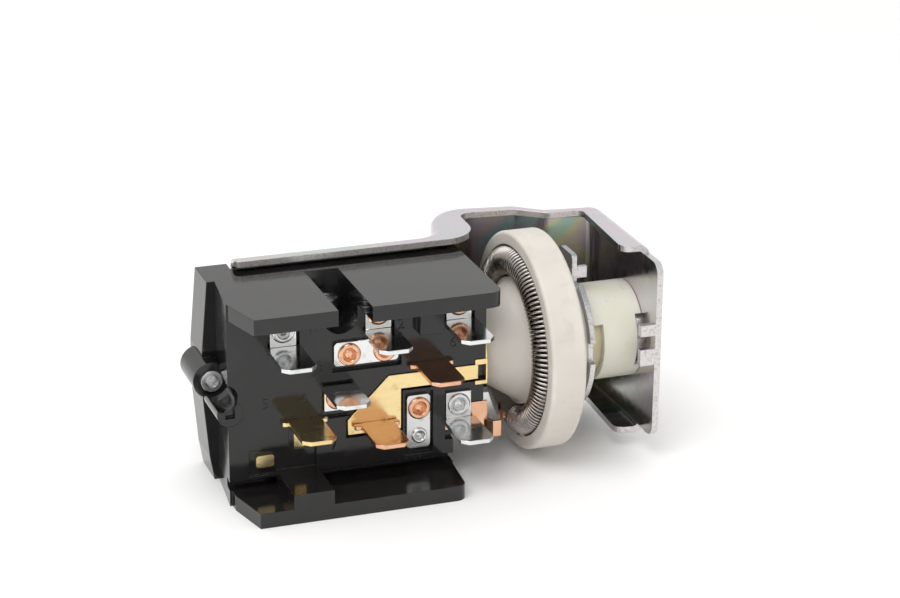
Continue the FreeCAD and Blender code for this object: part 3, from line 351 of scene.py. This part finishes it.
def porcelain():
    """Unglazed electrical porcelain: warm white, pin holes, grey rubs and faint iron spots."""
    paint = Paint("porcelain", base=(0.74, 0.70, 0.64), roughness=0.5, Specular_IOR_Level=0.4)
    normal, edges = paint.rounded(0.0004)
    body = paint.ramp(paint.noise(90, detail=5), (0.3, (0.56, 0.525, 0.475)), (0.7, (0.64, 0.605, 0.555)))
    spots = paint.span(paint.cells(260), 0.7, 0.0, 0.03, 0.075)
    rubs = paint.span(paint.noise(380, detail=7, stretch=(1.0, 0.35, 0.35)), 0.0, 0.4, 0.60, 0.72)
    spotted = paint.mix(spots, body, (0.34, 0.28, 0.21))
    grime = paint.span(paint.noise(210, detail=6, distortion=0.8), 0.0, 0.35, 0.56, 0.74)
    soiled = paint.mix(grime, spotted, (0.42, 0.38, 0.33))
    paint.set("Base Color", paint.mix(rubs, soiled, (0.74, 0.73, 0.71)))
    paint.set("Roughness", paint.span(paint.noise(600, detail=4), 0.38, 0.58))
    paint.bump((paint.noise(900, detail=6), 0.00001), (paint.cells(1400), 0.000006), normal=normal)
    return paint.material


def nylon(name, thin, thick):
    """Natural nylon: milky, light scattering inside, with faint moulding lines."""
    paint = Paint(name, base=thin, roughness=0.32)
    normal, edges = paint.rounded(0.0002)
    cloud = paint.noise(120, detail=3)
    paint.set("Base Color", paint.mix(paint.span(cloud, 0.0, 1.0), thin, thick))
    paint.set("Subsurface Weight", 0.35)
    paint.set("Subsurface Radius", (0.004, 0.0036, 0.0026))
    paint.set("Subsurface Scale", 1.0)
    paint.set("Roughness", paint.span(paint.noise(500, detail=4), 0.26, 0.42))
    paint.bump((paint.noise(240, detail=3, stretch=(3.0, 1.0, 1.0)), 0.00002), normal=normal)
    return paint.material


def resistance_wire():
    """Oxidised nichrome: smooth drawn wire, dark brown-grey with slow drifts of tone."""
    paint = Paint("nichrome", base=(0.34, 0.31, 0.29), roughness=0.24, metallic=1.0)
    drift = paint.noise(140, detail=2)
    paint.set("Base Color", paint.ramp(drift, (0.3, (0.30, 0.265, 0.245)), (0.7, (0.46, 0.43, 0.41))))
    paint.set("Roughness", paint.span(paint.noise(400, detail=2), 0.2, 0.3))
    paint.bump((paint.noise(500, detail=2), 0.000008))
    return paint.material


MATERIALS = {
    "phenolic": phenolic(),
    "zinc_steel": chromate("chromate_zinc", pan=True),
    "steel": plated("bright_steel", [(0.58, 0.58, 0.58), (0.66, 0.66, 0.66)]),
    "tinned": plated("tin_plate", [(0.70, 0.72, 0.72), (0.76, 0.76, 0.75), (0.66, 0.70, 0.71)], (0.10, 0.2),
                     dirt=(0.46, 0.45, 0.43)),
    "zinc": plated("zinc_plate", [(0.62, 0.63, 0.64), (0.72, 0.72, 0.72)], (0.16, 0.3)),
    "copper": plated("copper", [(0.71, 0.385, 0.235), (0.77, 0.46, 0.30), (0.65, 0.335, 0.205)], (0.12, 0.24),
                     dirt=(0.42, 0.18, 0.11)),
    "brass": plated("brass", [(0.78, 0.58, 0.26), (0.84, 0.68, 0.36), (0.74, 0.52, 0.21)], (0.14, 0.26),
                    dirt=(0.46, 0.32, 0.13)),
    "porcelain": porcelain(),
    "nichrome": resistance_wire(),
    "nylon": nylon("nylon", (0.74, 0.73, 0.64), (0.66, 0.645, 0.53)),
    "cream_nylon": nylon("cream_nylon", (0.62, 0.55, 0.36), (0.52, 0.45, 0.28)),
}


OWN_MATERIAL = {"driver_plate": chromate("chromate_plate", pan=False)}


def material_of(node):
    return OWN_MATERIAL.get(node, MATERIALS[SLOT_OF[node]])


# ---------------------------------------------------------------- pieces

def new_piece(name, mesh, like, replaces=True):
    """A finished mesh in the model's frame that takes the body of a CAD node and the material of its slot."""
    piece = bpy.data.objects.new(name, mesh)
    bpy.context.scene.collection.objects.link(piece)
    mesh.materials.clear()
    mesh.materials.append(material_of(like))
    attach(piece, BODY_OF[like])
    if replaces:
        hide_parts(like)
    return piece


def tube_along(points, radius, sides, name):
    """A closed round wire swept along a line of points with frames that don't twist."""
    mesh = bpy.data.meshes.new(name)
    verts, faces = [], []
    tangent = (points[1] - points[0]).normalized()
    across = tangent.orthogonal().normalized()
    for i, point in enumerate(points):
        ahead = points[min(i + 1, len(points) - 1)] - points[max(i - 1, 0)]
        turn = tangent.rotation_difference(ahead.normalized())
        across = (turn @ across).normalized()
        tangent = ahead.normalized()
        other = tangent.cross(across)
        for k in range(sides):
            angle = 2 * math.pi * k / sides
            verts.append(point + radius * (math.cos(angle) * across + math.sin(angle) * other))
    for i in range(len(points) - 1):
        for k in range(sides):
            a, b = i * sides + k, i * sides + (k + 1) % sides
            faces.append((a, b, b + sides, a + sides))
    faces.append(tuple(range(sides))[::-1])
    last = (len(points) - 1) * sides
    faces.append(tuple(range(last, last + sides)))
    mesh.from_pydata([tuple(v) for v in verts], [], faces)
    mesh.polygons.foreach_set("use_smooth", [True] * len(mesh.polygons))
    return mesh


COIL_WIRE = 0.27 * MM
COIL_TURNS = 100
COIL_START, COIL_SWEEP = math.radians(-38.0), math.radians(300.0)
POINTS_A_TURN = 20


def wound_coil():
    """The resistance wire, wound as a helix round an arc inside the ring's seat."""
    low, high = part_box("resistance_coil")
    tube = (high.x - low.x) / 2
    middle = (high.x + low.x) / 2
    ring = max(high.z, high.y) - tube
    points = []
    count = COIL_TURNS * POINTS_A_TURN
    for i in range(count + 1):
        share = i / count
        around = COIL_START + COIL_SWEEP * share
        roll = 2 * math.pi * COIL_TURNS * share
        # the spacing of the turns wanders a little, as on a hand-seated coil
        around += 0.006 * math.sin(14 * share * math.pi) * math.sin(roll * 0.5 / COIL_TURNS)
        reach = ring + (tube - COIL_WIRE) * math.cos(roll)
        x = middle + (tube - COIL_WIRE) * math.sin(roll)
        points.append(Vector((x, reach * math.cos(around), reach * math.sin(around))))
    new_piece("resistance_wire", tube_along(points, COIL_WIRE, 7, "resistance_wire"), "resistance_coil")


def lathe(name, centre, profile, sides=40):
    """A closed shape turned about an axis along Y, from (radius, Y) points in order round the section."""
    mesh = bpy.data.meshes.new(name)
    bm = bmesh.new()
    rings = []
    for radius, y in profile:
        if radius < 1e-7:
            rings.append([bm.verts.new((centre[0], y, centre[1]))])
            continue
        angles = [2 * math.pi * k / sides for k in range(sides)]
        rings.append([bm.verts.new((centre[0] + radius * math.cos(a), y, centre[1] + radius * math.sin(a)))
                      for a in angles])
    for i, here in enumerate(rings):
        ahead = rings[(i + 1) % len(rings)]
        if len(here) == 1 and len(ahead) == 1:
            continue
        for k in range(sides):
            corners = [here[k % len(here)], here[(k + 1) % len(here)],
                       ahead[(k + 1) % len(ahead)], ahead[k % len(ahead)]]
            bm.faces.new(list(dict.fromkeys(corners)))
    bmesh.ops.recalc_face_normals(bm, faces=bm.faces)
    for face in bm.faces:
        face.smooth = True
    bm.to_mesh(mesh)
    bm.free()
    mesh.set_sharp_from_angle(angle=math.radians(50))
    return mesh


def islands(mesh):
    """Low and high corners of each separate solid in a mesh."""
    bm = bmesh.new()
    bm.from_mesh(mesh)
    bmesh.ops.remove_doubles(bm, verts=bm.verts, dist=1e-7)
    left = set(bm.verts)
    found = []
    while left:
        stack = [left.pop()]
        low, high = stack[0].co.copy(), stack[0].co.copy()
        while stack:
            vert = stack.pop()
            for axis in range(3):
                low[axis] = min(low[axis], vert.co[axis])
                high[axis] = max(high[axis], vert.co[axis])
            for edge in vert.link_edges:
                other = edge.other_vert(vert)
                if other in left:
                    left.remove(other)
                    stack.append(other)
        found.append((low, high))
    bm.free()
    return sorted(found, key=lambda pair: tuple(round(v, 6) for v in pair[0]))


def release_spring():
    """The plunger's return spring, copied smooth-shaded from the CAD spring; the real one shortens as the
    plunger goes down, this copy keeps its shape.
    """
    mesh = frame["nodes"]["plunger_spring"].data.copy()
    mesh.name = "release_spring"
    mesh.polygons.foreach_set("use_smooth", [True] * len(mesh.polygons))
    spring = new_piece(mesh.name, mesh, "plunger_spring")
    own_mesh(spring)


CRUMBS = 9


def cement():
    """Crumbs of pale cement on the seat's rim where the coil ends, all in one piece."""
    low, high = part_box("resistance_coil")
    tube = (high.x - low.x) / 2
    middle = (high.x + low.x) / 2
    ring = high.z - tube
    crumbs = bmesh.new()
    for _ in range(CRUMBS):
        angle = COIL_START + COIL_SWEEP - math.radians(random.uniform(-1, 20))
        reach = ring + random.uniform(0.78, 1.0) * tube
        size = random.uniform(0.25, 0.5) * MM
        x = middle - random.uniform(0.2, 0.36) * tube
        place = Vector((x, reach * math.cos(angle), reach * math.sin(angle)))
        turn = Matrix.Rotation(random.uniform(0, math.pi), 4, "X")
        turn = turn @ Matrix.Rotation(random.uniform(0, math.pi), 4, "Y")
        scale = Matrix.Diagonal((1.0, random.uniform(0.6, 1.0), random.uniform(0.5, 0.8), 1.0))
        bmesh.ops.create_icosphere(crumbs, subdivisions=2, radius=size,
                                   matrix=Matrix.Translation(place) @ turn @ scale)
    for face in crumbs.faces:
        face.smooth = True
    mesh = bpy.data.meshes.new("coil_cement")
    crumbs.to_mesh(mesh)
    crumbs.free()
    new_piece(mesh.name, mesh, "rheostat_ring", replaces=False)


# section of a rivet's outer head, as shares of its radius and depths in millimetres from its front
RIVET_FRONT = ((0.0, 0.38), (0.16, 0.40), (0.32, 0.52), (0.43, 0.80), (0.48, 0.86), (0.53, 0.78),
               (0.55, 0.34), (0.60, 0.10), (0.69, 0.0), (0.86, 0.02), (0.95, 0.12), (1.0, 0.32))
HEAD_RADIUS = {"copper_rivets": 2.15 * MM, "zinc_eyelets": 2.15 * MM, "small_eyelet": 1.5 * MM}
HEAD_THICKNESS = 0.55 * MM
SHANK = 1.3 * MM
INNER_HEAD = 1.85 * MM


def rivets():
    """Every tubular rivet of the terminal face, turned with its ring, groove and domed well."""
    for node, head in HEAD_RADIUS.items():
        for number, (low, high) in enumerate(islands(frame["nodes"][node].data), start=1):
            centre = ((low.x + high.x) / 2, (low.z + high.z) / 2)
            front, back = low.y, high.y
            profile = [(share * head, front + depth * MM) for share, depth in RIVET_FRONT]
            profile += [(head, front + HEAD_THICKNESS), (SHANK, front + HEAD_THICKNESS),
                        (SHANK, back - HEAD_THICKNESS), (INNER_HEAD, back - HEAD_THICKNESS),
                        (INNER_HEAD, back), (0.0, back)]
            name = f"{node}_{number}"
            new_piece(name, lathe(name, centre, profile), node)


def eased(node, width):
    """A copy of a CAD node with its sharp edges eased, in its place."""
    mesh = frame["nodes"][node].data.copy()
    bm = bmesh.new()
    bm.from_mesh(mesh)
    bmesh.ops.remove_doubles(bm, verts=bm.verts, dist=1e-7)
    bmesh.ops.dissolve_limit(bm, angle_limit=math.radians(1), verts=bm.verts, edges=bm.edges)
    sharp = [edge for edge in bm.edges if len(edge.link_faces) == 2
             and edge.calc_face_angle() > math.radians(35)]
    strips = bmesh.ops.bevel(bm, geom=sharp, offset=width, offset_type="OFFSET", segments=2, profile=0.5,
                             affect="EDGES", clamp_overlap=True)["faces"]
    for face in bm.faces:
        face.smooth = False
    for face in strips:
        face.smooth = True
    bm.to_mesh(mesh)
    bm.free()
    mesh.name = f"{node}_eased"
    new_piece(mesh.name, mesh, node)


TERMINALS = ("terminal_tail", "terminal_feed", "terminal_dimmer", "terminal_lamp", "terminal_instrument",
             "terminal_head", "terminal_rheostat", "terminal_battery")
STRIPS = ("upper_link", "lower_link", "feed_strip")
TERMINAL_EASE = 0.12 * MM
STRIP_EASE = 0.1 * MM

# raised numbers on the terminal face: text, and its lower left corner along X and Z in millimetres
NUMBERS = (("1", -67.6, 9.6), ("2", -50.6, 8.4), ("3", -65.9, 2.0), ("4", -69.2, -3.9), ("5", -76.2, -3.9),
           ("6", -40.6, 3.6), ("7", -63.4, -13.6), ("8", -36.6, -12.6))
NUMBER_SIZE = 2.8 * MM
NUMBER_RISE = 0.18 * MM
FOOT_THICKNESS = 0.3 * MM


def numbers():
    """Plain raised numbers by the terminals, moulded with the face."""
    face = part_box("hub_contact_spring")[0].y + FOOT_THICKNESS
    upright = Matrix.Rotation(math.radians(90), 4, "X")
    moulded = bmesh.new()
    for text, x, z in NUMBERS:
        curve = bpy.data.curves.new(f"number_{text}", "FONT")
        curve.body = text
        curve.size = NUMBER_SIZE
        curve.extrude = NUMBER_RISE
        curve.offset = -0.015 * NUMBER_SIZE
        curve.resolution_u = 4
        holder = bpy.data.objects.new(curve.name, curve)
        bpy.context.scene.collection.objects.link(holder)
        graph = bpy.context.evaluated_depsgraph_get()
        shape = bpy.data.meshes.new_from_object(holder.evaluated_get(graph))
        shape.transform(Matrix.Translation((x * MM, face, z * MM)) @ upright)
        moulded.from_mesh(shape)
        bpy.data.objects.remove(holder)
    bmesh.ops.remove_doubles(moulded, verts=moulded.verts, dist=1e-7)
    mesh = bpy.data.meshes.new("face_numbers")
    moulded.to_mesh(mesh)
    moulded.free()
    new_piece("face_numbers", mesh, "terminal_housing", replaces=False)


def finish_cad_nodes():
    """Gives every CAD node that still shows its material."""
    for node, item in frame["nodes"].items():
        item.data.materials.clear()
        item.data.materials.append(material_of(node))


finish_cad_nodes()
wound_coil()
rivets()
release_spring()
cement()
numbers()
for terminal in TERMINALS:
    eased(terminal, TERMINAL_EASE)
for flat_strip in STRIPS:
    eased(flat_strip, STRIP_EASE)
add_camera()
add_light()
add_floor()
bpy.context.scene.view_settings.view_transform = "Standard"
